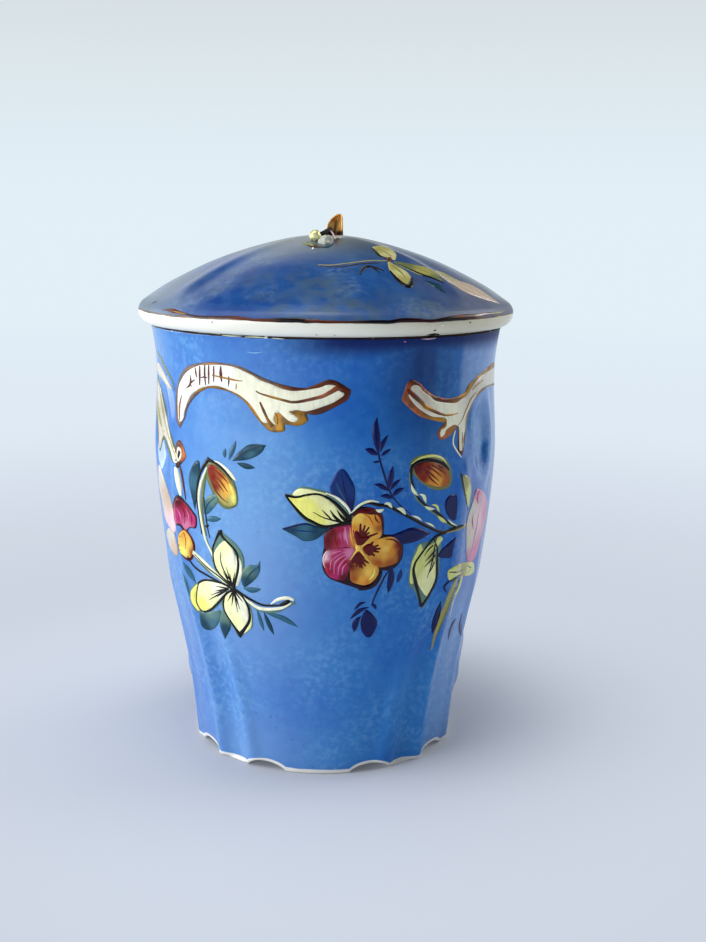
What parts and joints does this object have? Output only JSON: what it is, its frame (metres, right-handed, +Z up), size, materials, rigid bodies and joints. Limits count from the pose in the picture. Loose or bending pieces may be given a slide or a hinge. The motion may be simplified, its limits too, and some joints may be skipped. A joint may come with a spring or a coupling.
{
  "type": "tea infuser mug",
  "caption": "Covered porcelain infuser mug: a lobed beaker with a scalloped foot, a lift-out pierced infuser and a domed lid with a twig knob.",
  "frame": {"origin": "on the standing plane, under the middle of the foot", "axes": "+Z up along the mug's axis, -Y towards the painted front, +X to the front's right"},
  "size_m": [0.0874, 0.0874, 0.125],
  "materials": {
    "blue_glaze": "hand-laid bright blue ground under a glossy glaze, slightly mottled",
    "white_glaze": "warm white glazed porcelain",
    "gilding": "burnished gilding, worn brown at the edges"
  },
  "bodies": {
    "mug": {"mug_body": "blue_glaze"},
    "infuser": {"infuser_basket": "white_glaze"},
    "cover": {"lid": "blue_glaze", "knob_root": "white_glaze", "knob_bud": "gilding", "knob_leaf": "gilding", "knob_twig": "gilding"}
  },
  "joints": [
    {"name": "infuser_lift", "type": "slide", "parent": "mug", "child": "infuser", "axis": [0, 0, 1], "range_m": [0, 0.07]},
    {"name": "lid_lift", "type": "slide", "parent": "infuser", "child": "cover", "axis": [0, 0, 1], "range_m": [0, 0.05]}
  ]
}
